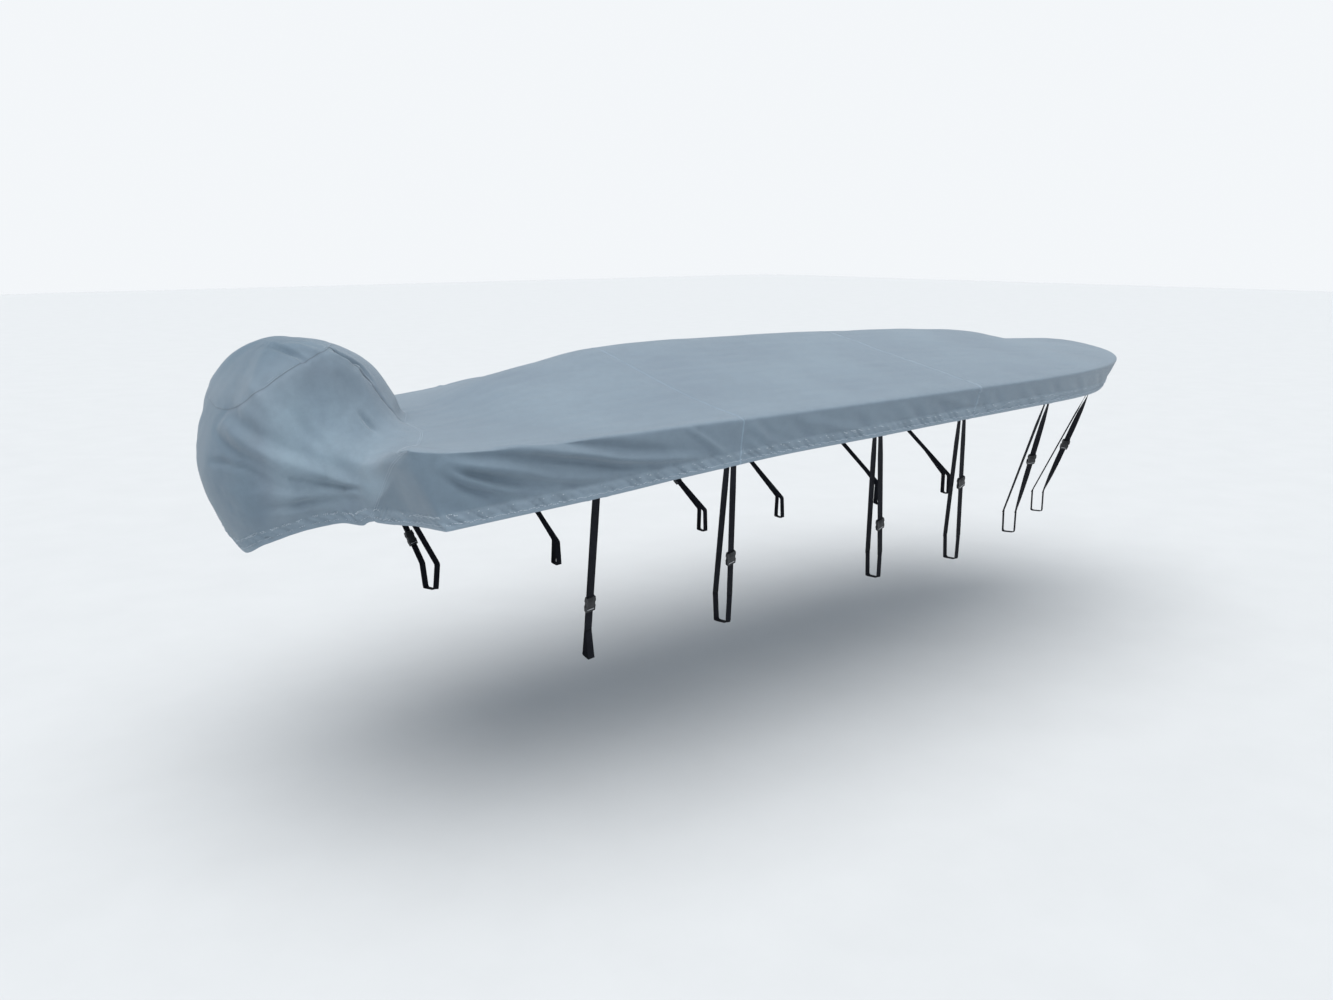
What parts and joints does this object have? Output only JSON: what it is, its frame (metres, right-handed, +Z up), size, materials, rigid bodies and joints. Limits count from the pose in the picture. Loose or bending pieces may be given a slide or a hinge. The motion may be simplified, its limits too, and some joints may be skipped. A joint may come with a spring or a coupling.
{
  "type": "fitted boat cover",
  "caption": "Fitted cloth cover for a small V-hull boat: draped deck panels with side skirts, a sewn hood for the outboard motor, and webbing tie-down loops with buckles.",
  "frame": {"origin": "on the centreline midway along the gunwale, at the underside of the cloth where it lies on the boat's ridge support", "axes": "+X to the bow, +Y to port, +Z up"},
  "size_m": [4.696, 1.6366, 1.0469],
  "materials": {
    "cloth": "coated plain-weave polyester, matt",
    "webbing": "woven polyester webbing",
    "buckle": "moulded, satin"
  },
  "bodies": {
    "root": {"aft_panel": "cloth", "middle_panel": "cloth", "bow_panel": "cloth", "hood_cap": "cloth", "hood_front": "cloth", "hood_side_starboard": "cloth", "hood_side_port": "cloth", "strap_starboard_1": "webbing", "strap_starboard_2": "webbing", "strap_starboard_3": "webbing", "strap_starboard_4": "webbing", "strap_starboard_5": "webbing", "strap_starboard_6": "webbing", "strap_port_1": "webbing", "strap_port_2": "webbing", "strap_port_3": "webbing", "strap_port_4": "webbing", "strap_port_5": "webbing", "strap_port_6": "webbing", "buckle_starboard_1": "buckle", "buckle_starboard_2": "buckle", "buckle_starboard_3": "buckle", "buckle_starboard_4": "buckle", "buckle_starboard_5": "buckle", "buckle_starboard_6": "buckle", "buckle_port_1": "buckle", "buckle_port_2": "buckle", "buckle_port_3": "buckle", "buckle_port_4": "buckle", "buckle_port_5": "buckle", "buckle_port_6": "buckle"}
  },
  "joints": []
}
